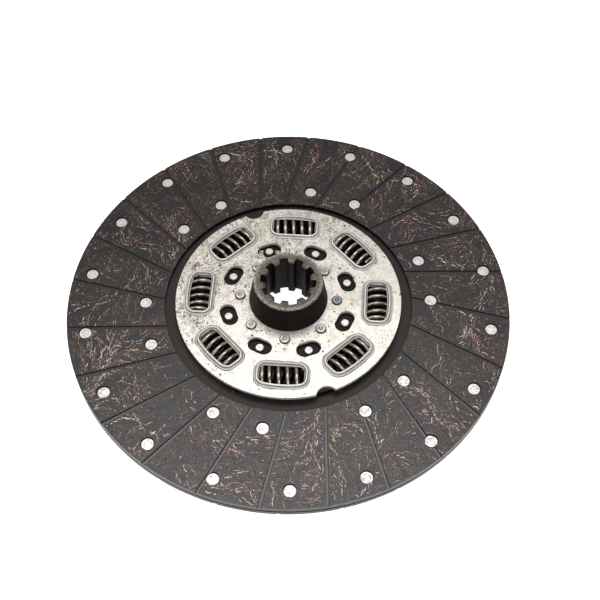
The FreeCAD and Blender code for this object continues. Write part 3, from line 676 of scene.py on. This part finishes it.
def wornSheet(tree, place, finish, ring):
    side = vectorMaths(tree, "DOT_PRODUCT", {0: place, 1: finish["wornTowards"]})[1]
    broad = times(tree, clouded(tree, place, finish["broadClouds"]), finish["broadShare"])
    wearAndSheen = maths(tree, "ADD", broad, 1 - finish["broadShare"])
    wearAndSheen = times(tree, spread(tree, side, *finish["wornSide"]), wearAndSheen)
    cloud = clouded(tree, place, finish["clouds"])
    greyed = times(tree, cloud, eased(tree, wearAndSheen, finish["cloudShare"]))
    colour = mixColour(tree, greyed, finish["bright"], finish["grey"])
    grain = clouded(tree, place, finish["grains"])
    grained = times(tree, grain, eased(tree, wearAndSheen, finish["grainShare"]))
    colour = mixColour(tree, grained, colour, finish["grain"])
    for look, share, tint in finish["marks"]:
        colour = mixColour(tree, times(tree, clouded(tree, place, look), share), colour, tint)
    # denser dark specks round each hub rivet: dirt with a painted contact shadow
    rivetDirtAndShade = times(tree, spread(tree, fromRing(tree, place, ring), *finish["rivetDirtAndShade"]), finish["rivetDirtAndShadeShare"])
    density = maths(tree, "ADD", eased(tree, wearAndSheen, finish["pitDensity"]), rivetDirtAndShade)
    pits = speckled(tree, place, {**finish["pits"], "Density": density})
    colour = mixColour(tree, times(tree, pits, finish["pitShare"]), colour, finish["pit"])
    return colour, wearAndSheen, cloud, grain, pits


def makePlatedMaterial(finish, ring):
    material, tree, shader, place = newMaterial("platedSteel")
    colour, wearAndSheen, cloud, grain, pits = wornSheet(tree, place, finish, ring)
    # painted highlight on the lips' lower slopes
    normal = splitAxes(tree, addNode(tree, "ShaderNodeNewGeometry").outputs["Normal"])
    slope = spread(tree, maths(tree, "ABSOLUTE", normal[2]), *finish["lipFlare"])
    level = maths(tree, "ABSOLUTE", splitAxes(tree, place)[2])
    onLip = spread(tree, level, *finish["lipWall"])
    flare = times(tree, slope, maths(tree, "SUBTRACT", 1.0, onLip))
    colour = mixColour(tree, times(tree, flare, finish["flareShare"]), colour, finish["crest"])
    # painted shade on the lips' upper sides
    hatched = eased(tree, clouded(tree, place, finish["wallClouds"]), finish["wallShadeShare"])
    colour = mixColour(tree, times(tree, onLip, hatched), colour, finish["slope"])
    # dark bands at the lips' feet and folds: dirt with painted crease shade
    for line, share in (("foot", "footShare"), ("fold", "foldShare")):
        creaseDark = times(tree, band(tree, level, *finish[line]), eased(tree, cloud, finish[share]))
        colour = mixColour(tree, creaseDark, colour, finish["creaseDirtAndShade"])
    # painted highlight along the lips' crests
    colour = mixColour(tree, spread(tree, level, *finish["crestLevels"]), colour, finish["crest"])
    roughness = times(tree, grain, finish["grainRoughness"])
    roughness = maths(tree, "ADD", roughness, eased(tree, wearAndSheen, finish["wornRoughness"]))
    metallic = eased(tree, maths(tree, "MAXIMUM", onLip, flare), finish["metallic"])
    height = maths(tree, "SUBTRACT", times(tree, grain, finish["grainRelief"]), pits)
    finishShader(tree, shader, colour, roughness, metallic, (height, *finish["relief"]))
    return material


# Rivets and stop pins. A line holds its radius, half its width and its share.

facingRivetFinish = {
    "name": "facingRivetSteel",
    "bright": (0.84, 0.81, 0.79, 1.0),
    "dull": (0.60, 0.56, 0.545, 1.0),
    "line": (0.20, 0.18, 0.17, 1.0),
    "lines": ((1.25 * mm, 0.18 * mm, 0.35), (2.7 * mm, 0.2 * mm, 0.55), (4.25 * mm, 0.2 * mm, 0.35)),
    "metallic": 0.45,
    "pitShare": 0.4,
}
hubRivetFinish = {
    "name": "hubRivetSteel",
    "bright": (0.62, 0.58, 0.52, 1.0),
    "dull": (0.34, 0.31, 0.275, 1.0),
    "line": (0.05, 0.042, 0.036, 1.0),
    "lines": ((0.5 * mm, 0.35 * mm, 0.35), (1.7 * mm, 0.25 * mm, 0.8), (4.15 * mm, 0.3 * mm, 0.85)),
    "metallic": 0.65,
    "pitShare": 0.6,
    "blued": {"colour": (0.16, 0.19, 0.21, 1.0), "edge": (5.5 * mm, 5.0 * mm), "share": 0.75},
}
pinFinish = {
    "name": "stopPinSteel",
    "bright": (0.80, 0.76, 0.70, 1.0),
    "dull": (0.55, 0.50, 0.44, 1.0),
    "line": (0.12, 0.10, 0.085, 1.0),
    "lines": ((3.1 * mm, 0.15 * mm, 0.7),),
    "metallic": 0.55,
    "pitShare": 0.6,
}
turnedSteel = {
    "clouds": {"Scale": 420.0, "Low": 0.42, "High": 0.62},
    "cloudShare": 0.75,
    "pits": {"Scale": 1300.0, "Size": 0.32, "Density": 0.28},
    "lineSoftness": 0.25 * mm,
    "lineShare": (0.6, 1.0),
    "wallShadeShare": 0.85,
    "roughness": (0.34, 0.5),
    "relief": (0.2, 0.1 * mm),
}


def makeRivetMaterial(finish, rings, shared):
    # plated steel with dark rings about each rivet's own middle: turned rings, and at each head's or pin end's
    # edge dirt with painted shade
    material, tree, shader, place = newMaterial(finish["name"])
    cloud = clouded(tree, place, shared["clouds"])
    colour = mixColour(tree, times(tree, cloud, shared["cloudShare"]), finish["bright"], finish["dull"])
    pits = speckled(tree, place, shared["pits"])
    colour = mixColour(tree, times(tree, pits, finish["pitShare"]), colour, finish["line"])
    reach = fromRings(tree, place, rings)
    wearAndSheen = eased(tree, cloud, shared["lineShare"])
    for middle, halfWidth, share in finish["lines"]:
        mark = band(tree, reach, middle, halfWidth, shared["lineSoftness"])
        colour = mixColour(tree, times(tree, mark, times(tree, share, wearAndSheen)), colour, finish["line"])
    if "blued" in finish:
        # the ring's first rivet alone
        blued = finish["blued"]
        here = spread(tree, fromRing(tree, place, {**rings[0], "count": 1}), *blued["edge"])
        colour = mixColour(tree, times(tree, here, blued["share"]), colour, blued["colour"])
    # painted shade on the upright sides of the heads and pins
    colour = mixColour(tree, times(tree, upright(tree), shared["wallShadeShare"]), colour, finish["line"])
    height = maths(tree, "SUBTRACT", cloud, pits)
    roughness = eased(tree, cloud, shared["roughness"])
    finishShader(tree, shader, colour, roughness, finish["metallic"], (height, *shared["relief"]))
    return material


# Oiled sheet of the core and adapter plates, and the friction rings; the adapter plates are near-black, dark
# steel with painted shade in the slots and behind the springs

coreFinish = {
    "name": "oiledCoreSteel",
    "dark": (0.026, 0.0205, 0.0185, 1.0),
    "light": (0.050, 0.041, 0.038, 1.0),
    "roughness": (0.4, 0.5),
    "metallic": 0.1,
}
# near-black: dark oiled steel with painted shade in the slots and behind the springs
adapterFinish = {
    "name": "oiledPlateSteelAndPaintedShade",
    "dark": (0.004, 0.0035, 0.003, 1.0),
    "light": (0.012, 0.0105, 0.0095, 1.0),
    "roughness": (0.4, 0.5),
    "metallic": 0.0,
    "bareSpot": {
        "ring": {**fastenerRings["pins"], "phase": 109.0, "count": 1},
        "line": (7.0 * mm, 1.6 * mm, 0.3 * mm),
        "clouds": {"Scale": 700.0, "Low": 0.42, "High": 0.5},
        "end": (50.5 * mm, 49.0 * mm),
        "colour": (0.82, 0.78, 0.70, 1.0),
    },
}
washerFinish = {
    "name": "frictionWasher",
    "dark": (0.02, 0.017, 0.015, 1.0),
    "light": (0.05, 0.042, 0.035, 1.0),
    "roughness": (0.7, 0.9),
    "metallic": 0.0,
}
oiledSheet = {
    "clouds": {"Scale": 45.0, "Low": 0.35, "High": 0.7},
    "cloudShare": 0.7,
    "grain": {"Scale": 700.0, "Low": 0.3, "High": 0.7},
    "grainShare": 0.3,
    "relief": (0.08, 0.1 * mm),
    "specular": 0.16,
}


def makeDarkSteelMaterial(finish, shared):
    material, tree, shader, place = newMaterial(finish["name"])
    cloud = clouded(tree, place, shared["clouds"])
    grain = clouded(tree, place, shared["grain"])
    lit = times(tree, cloud, shared["cloudShare"])
    lit = maths(tree, "ADD", lit, times(tree, grain, shared["grainShare"]))
    colour = mixColour(tree, lit, finish["dark"], finish["light"])
    if "bareSpot" in finish:
        # bright metal scraped bare round one stop pin
        spot = finish["bareSpot"]
        bare = times(tree, band(tree, fromRing(tree, place, spot["ring"]), *spot["line"]),
                     clouded(tree, place, spot["clouds"]))
        bare = times(tree, bare, spread(tree, splitAxes(tree, place)[1], *spot["end"]))
        colour = mixColour(tree, bare, colour, spot["colour"])
    roughness = eased(tree, cloud, finish["roughness"])
    finishShader(tree, shader, colour, roughness, finish["metallic"], (grain, *shared["relief"]))
    shader.inputs["Specular IOR Level"].default_value = shared["specular"]
    return material


# Spring wire, with a painted highlight along the outside of its turns

springFinish = {
    "bare": (0.085, 0.07, 0.06, 1.0),
    "brown": (0.048, 0.036, 0.029, 1.0),
    "crownHighlight": (0.66, 0.59, 0.49, 1.0),
    "clouds": {"Scale": 110.0, "Low": 0.35, "High": 0.7},
    "crown": (0.8, 1.0),
    "crownHighlightShare": (0.8, 0.5),
    "roughness": (0.24, 0.3),
    "metallic": (0.95, 0.55),
}


def makeSpringMaterial(finish):
    material, tree, shader, place = newMaterial("springSteel")
    cloud = clouded(tree, place, finish["clouds"])
    crown = addNode(tree, "ShaderNodeAttribute", attribute_name="crown").outputs["Fac"]
    # painted highlight along the outside of each turn
    streak = times(tree, spread(tree, crown, *finish["crown"]), eased(tree, cloud, finish["crownHighlightShare"]))
    colour = mixColour(tree, cloud, finish["bare"], finish["brown"])
    colour = mixColour(tree, streak, colour, finish["crownHighlight"])
    roughness = eased(tree, streak, finish["roughness"])
    finishShader(tree, shader, colour, roughness, eased(tree, streak, finish["metallic"]))
    return material


# Hub: black oxide on the barrel, bare turned metal on its end face

hubFinish = {
    "oxide": (0.0075, 0.0065, 0.0058, 1.0),
    "oxideBrown": (0.013, 0.010, 0.008, 1.0),
    "face": (0.155, 0.135, 0.12, 1.0),
    "faceDark": (0.075, 0.064, 0.056, 1.0),
    "wear": (0.50, 0.47, 0.42, 1.0),
    "clouds": {"Scale": 90.0, "Low": 0.35, "High": 0.7},
    "grain": {"Scale": 800.0, "Low": 0.42, "High": 0.62},
    "rubs": {"Scale": 900.0, "Size": 0.42, "Density": 0.35},
    "rubShare": 0.35,
    "faceDepth": (1.6 * mm, 1.3 * mm),
    "edgeDepth": (1.6 * mm, 0.4 * mm),
    "outsideBore": (24.0 * mm, 26.5 * mm),
    "edgeShare": 0.8,
    "roughness": 0.5,
    "metallic": (0.0, 0.7),
    "specular": 0.07,
    "relief": (0.12, 0.1 * mm),
}


def makeHubMaterial(finish):
    material, tree, shader, place = newMaterial("blackOxideHub")
    axes = splitAxes(tree, place)
    depth = maths(tree, "SUBTRACT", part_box("hub")[1].z, axes[2])
    cloud = clouded(tree, place, finish["clouds"])
    grain = clouded(tree, place, finish["grain"])
    oxide = mixColour(tree, cloud, finish["oxide"], finish["oxideBrown"])
    face = mixColour(tree, grain, finish["face"], finish["faceDark"])
    rubbed = times(tree, speckled(tree, place, finish["rubs"]), finish["rubShare"])
    face = mixColour(tree, rubbed, face, finish["wear"])
    level = maths(tree, "SUBTRACT", 1.0, upright(tree))
    onFace = times(tree, level, spread(tree, depth, *finish["faceDepth"]))
    onEdge = spread(tree, depth, *finish["edgeDepth"])
    beyondBore = spread(tree, planReach(tree, axes), *finish["outsideBore"])
    edgeWear = times(tree, times(tree, onEdge, beyondBore), times(tree, grain, finish["edgeShare"]))
    colour = mixColour(tree, onFace, oxide, face)
    colour = mixColour(tree, edgeWear, colour, finish["wear"])
    metallic = eased(tree, onFace, finish["metallic"])
    finishShader(tree, shader, colour, finish["roughness"], metallic, (grain, *finish["relief"]))
    shader.inputs["Specular IOR Level"].default_value = finish["specular"]
    return material


materials = {
    "facing": makeFacingMaterial(facingFinish, grooveLines, facingRings),
    "wire": makeWireMaterial(wireFinish),
    "plated": makePlatedMaterial(platedFinish, fastenerRings["hub"]),
    "facingRivet": makeRivetMaterial(facingRivetFinish, facingRings, turnedSteel),
    "hubRivet": makeRivetMaterial(hubRivetFinish, [fastenerRings["hub"]], turnedSteel),
    "pin": makeRivetMaterial(pinFinish, [fastenerRings["pins"]], turnedSteel),
    "core": makeDarkSteelMaterial(coreFinish, oiledSheet),
    "adapter": makeDarkSteelMaterial(adapterFinish, oiledSheet),
    "washer": makeDarkSteelMaterial(washerFinish, oiledSheet),
    "spring": makeSpringMaterial(springFinish),
    "hub": makeHubMaterial(hubFinish),
}
print("stage: materials")


# Facings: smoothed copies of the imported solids, with strands of wire half sunk in their faces

wireYarns = {
    "count": 1600,
    "seed": 41,
    "innerEdge": 101.5 * mm,
    "outerEdge": 176.6 * mm,
    "mostDashes": 9,
    "shortest": 1.2 * mm,
    "longest": 6.0 * mm,
    "lengthPower": 2.4,
    "gap": 1.6 * mm,
    "aside": 0.5 * mm,
    "bow": 0.1,
    "thinnest": 0.16 * mm,
    "thickest": 0.44 * mm,
    "thicknessPower": 1.6,
    "endTaper": 0.5,
    "flatten": 0.25,
    "clusterScale": 40.0,
    "fineClusters": {"scale": 2.3, "share": 0.5},
    "clusterLift": 0.25,
    "clusterGain": 1.1,
    "clusterBase": 0.2,
    "sparsest": 0.28,
    "swirlScale": 13.0,
    "swirl": 1.5 * math.pi,
    "lean": 0.9,
    "yarnTurn": 0.4,
    "dashTurn": 0.22,
    "tonePower": 0.95,
    "toneSpread": 0.14,
    "litSideStart": 0.2,
    "litSideLean": 0.1,
    "litSideWidth": 130 * mm,
    "litSideDensity": (0.68, 0.32),
    "litSideThickness": (0.88, 0.52),
    "litSideTone": (0.5, 0.52),
}


def facingLevel(name):
    low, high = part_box(name)
    return high.z if high.z > -low.z else low.z


faceProbe = {"height": 2.0 * mm, "tolerance": 0.05 * mm}


def onFace(facing, point, level, side, probe):
    start = Vector((point.x, point.y, level + side * probe["height"]))
    hit, place, _, _ = facing.ray_cast(start, Vector((0, 0, -side)), distance=2 * probe["height"])
    return hit and abs(place.z - level) < probe["tolerance"]


def clamped(value):
    return max(0.0, min(1.0, value))


def wireLitSideShare(spot, yarns):
    # share towards the disc's −Y side, where strands are laid denser and broader and their tone is painted
    # brighter, a painted highlight; sparser, finer and duller the other way
    return clamped(yarns["litSideStart"] + (yarns["litSideLean"] * spot.x - spot.y) / yarns["litSideWidth"])


def byLitSideShare(ends, wearAndSheen):
    base, gain = ends
    return base + gain * wearAndSheen


def wireDensity(spot, yarns, seed):
    place = Vector((spot.x, spot.y, seed)) * yarns["clusterScale"]
    fine = yarns["fineClusters"]
    cluster = noise.noise(place) + fine["share"] * noise.noise(place * fine["scale"]) + yarns["clusterLift"]
    density = max(yarns["sparsest"], min(1.0, yarns["clusterGain"] * cluster + yarns["clusterBase"]))
    return density * byLitSideShare(yarns["litSideDensity"], wireLitSideShare(spot, yarns))


def yarnHeading(spot, yarns, seed):
    swirl = yarns["swirl"] * noise.noise(Vector((spot.x, spot.y, seed + 3.0)) * yarns["swirlScale"])
    return math.atan2(spot.y, spot.x) + yarns["lean"] + swirl


def layWires(curve, facing, level, side, yarns):
    # yarns of cut wire that surface as rows of short dashes; gives each dash's tone
    draw = random.Random(yarns["seed"] + side)
    seed = yarns["seed"] + 10.0 * side
    tones = []
    laid = 0
    while laid < yarns["count"]:
        reach = math.sqrt(draw.uniform(yarns["innerEdge"] ** 2, yarns["outerEdge"] ** 2))
        turn = draw.uniform(0, 2 * math.pi)
        spot = Vector((reach * math.cos(turn), reach * math.sin(turn), 0))
        if draw.random() > wireDensity(spot, yarns, seed):
            continue
        laid += 1
        aside = draw.gauss(0, yarns["yarnTurn"])
        yarnTone = draw.random() ** yarns["tonePower"]
        for _ in range(draw.randint(2, yarns["mostDashes"])):
            heading = yarnHeading(spot, yarns, seed) + aside + draw.gauss(0, yarns["dashTurn"])
            along = Vector((math.cos(heading), math.sin(heading), 0))
            across = Vector((-along.y, along.x, 0))
            extra = (yarns["longest"] - yarns["shortest"]) * draw.random() ** yarns["lengthPower"]
            length = yarns["shortest"] + extra
            bow = draw.gauss(0, yarns["bow"]) * length
            start = spot + across * draw.gauss(0, yarns["aside"])
            points = [start, start + along * (0.5 * length) + across * bow, start + along * length]
            spot = spot + along * (length + draw.expovariate(1 / yarns["gap"]))
            inside = all(point.length < yarns["outerEdge"] for point in points)
            if not (inside and all(onFace(facing, point, level, side, faceProbe) for point in points)):
                continue
            spline = curve.splines.new("POLY")
            spline.points.add(2)
            wearAndSheen = wireLitSideShare(start, yarns)
            extra = (yarns["thickest"] - yarns["thinnest"]) * draw.random() ** yarns["thicknessPower"]
            thickness = (yarns["thinnest"] + extra) * byLitSideShare(yarns["litSideThickness"], wearAndSheen)
            for target, point, share in zip(spline.points, points, (yarns["endTaper"], 1.0, yarns["endTaper"])):
                target.co = (point.x, point.y, level, 1.0)
                target.radius = thickness * share
            # each dash's tone is painted brighter towards −Y, a painted highlight
            tone = yarnTone + draw.gauss(0, yarns["toneSpread"])
            tones.append(clamped(tone * byLitSideShare(yarns["litSideTone"], wearAndSheen)))
    return tones


def makeWires(facing, pieceName, level, side, yarns, material):
    curve = newTube(pieceName, 1.0, 0)
    tones = layWires(curve, facing, level, side, yarns)
    wires = curveToMesh(pieceName, curve)
    editMode(wires)
    bpy.ops.transform.resize(value=(1, 1, yarns["flatten"]), center_override=(0, 0, level))
    objectMode()
    corners = len(wires.data.vertices) // len(tones)
    attribute = wires.data.attributes.new("wireTone", "FLOAT", "POINT")
    attribute.data.foreach_set("value", [tone for tone in tones for _ in range(corners)])
    finishPiece(wires, "disc_body", material)
    print("wires:", len(tones), "dashes,", len(wires.data.polygons), "faces")


for side, facingNode in ((1, "facing_front"), (-1, "facing_rear")):
    facingPiece = mergedCopy(facingNode, facingNode + "_woven")
    smoothShade(facingPiece)
    finishPiece(facingPiece, "disc_body", materials["facing"], [facingNode])
    makeWires(facingPiece, facingNode + "_wires", facingLevel(facingNode), side, wireYarns, materials["wire"])
print("stage: facings")


# Retainer plates, hub, rivets and pins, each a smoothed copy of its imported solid

smoothPieces = [
    # node, material, smoothing angle
    ("retainer_plate_front", "plated", 30.0),
    ("retainer_plate_rear", "plated", 30.0),
    ("hub", "hub", 30.0),
    ("hub_rivets", "hubRivet", 35.0),
    ("outer_facing_rivets", "facingRivet", 30.0),
    ("inner_facing_rivets", "facingRivet", 30.0),
    ("stop_pins", "pin", 30.0),
    ("core_plate", "core", 30.0),
    ("adapter_plate_front", "adapter", 30.0),
    ("adapter_plate_rear", "adapter", 30.0),
    ("friction_ring_front", "washer", 30.0),
    ("friction_ring_rear", "washer", 30.0),
]
edgeRounding = {
    "materials": ["plated"],
    "flatAngle": math.radians(0.4),
    "cornerAngle": math.radians(50.0),
    "width": 0.25 * mm,
    "segments": 2,
}


def roundEdges(piece, rounding):
    editMode(piece)
    bpy.ops.mesh.dissolve_limited(angle_limit=rounding["flatAngle"])
    objectMode()
    applyModifier(
        piece, "BEVEL", width=rounding["width"], segments=rounding["segments"],
        limit_method="ANGLE", angle_limit=rounding["cornerAngle"],
    )


for node, materialName, angle in smoothPieces:
    smoothed = mergedCopy(node, node + "_finished")
    if materialName in edgeRounding["materials"]:
        roundEdges(smoothed, edgeRounding)
    smoothShade(smoothed, angle)
    finishPiece(smoothed, bodyOfNode[node], materials[materialName], [node])
print("stage: plates, hub, rivets and pins")


# Damper springs

springSize = {
    "count": 8,
    "phase": -3.5,
    "roll": 130.0,
    "ringRadius": 71.4 * mm,
    "outside": 23.6 * mm,
    "wire": 4.4 * mm,
    "sectionSteps": 5,
    "length": 34.4 * mm,
    "middleTurns": 3.65,
    "closedTurns": 0.75,
    "closedPitch": 4.5 * mm,
    "stepsPerTurn": 36,
    "smoothAngle": 40.0,
    "shortening": 9.1 * mm,
}


def springHeight(turn, size):
    start = -size["length"] / 2 + size["wire"] / 4
    closedRise = size["closedTurns"] * size["closedPitch"]
    middleRise = -2 * start - 2 * closedRise
    if turn < size["closedTurns"]:
        return start + turn * size["closedPitch"]
    past = turn - size["closedTurns"]
    if past < size["middleTurns"]:
        return start + closedRise + middleRise * past / size["middleTurns"]
    return start + closedRise + middleRise + (past - size["middleTurns"]) * size["closedPitch"]


def makeSpring(size):
    # one spring about the Z axis: a wound round wire, its ends ground flat
    turns = size["middleTurns"] + 2 * size["closedTurns"]
    steps = round(turns * size["stepsPerTurn"])
    coilRadius = (size["outside"] - size["wire"]) / 2
    wireRadius = size["wire"] / 2
    curve = newTube("damperSpring", wireRadius, size["sectionSteps"])
    spline = curve.splines.new("POLY")
    spline.points.add(steps)
    for i, point in enumerate(spline.points):
        turn = turns * i / steps
        angle = 2 * math.pi * turn
        height = springHeight(turn, size)
        point.co = (coilRadius * math.cos(angle), coilRadius * math.sin(angle), height, 1.0)
    spring = curveToMesh("damperSpring", curve)
    for side in (-1, 1):
        editMode(spring)
        bpy.ops.mesh.bisect(
            plane_co=(0, 0, side * size["length"] / 2), plane_no=(0, 0, side), use_fill=True, clear_outer=True
        )
        objectMode()
    crowns = [(vertex.co.xy.length - coilRadius) / wireRadius for vertex in spring.data.vertices]
    spring.data.attributes.new("crown", "FLOAT", "POINT").data.foreach_set("value", crowns)
    return spring


def placeSprings(size, material):
    master = makeSpring(size)
    for number in range(1, size["count"] + 1):
        spring = addObject(f"damper_spring_{number}_wound", master.data.copy())
        angle = math.radians(size["phase"] + 360 * (number - 1) / size["count"])
        spring.matrix_world = (
            Matrix.Rotation(angle, 4, "Z")
            @ Matrix.Translation((size["ringRadius"], 0, 0))
            @ Matrix.Rotation(-math.pi / 2, 4, "X")
            @ Matrix.Rotation(math.radians(size["roll"] * number), 4, "Z")
        )
        applyPlace(spring)
        smoothShade(spring, size["smoothAngle"])
        finishPiece(spring, "spring_body", material, [f"damper_spring_{number}"])
        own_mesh(spring)
    bpy.data.objects.remove(master)


placeSprings(springSize, materials["spring"])
print("stage: damper springs")

print("stage: done")
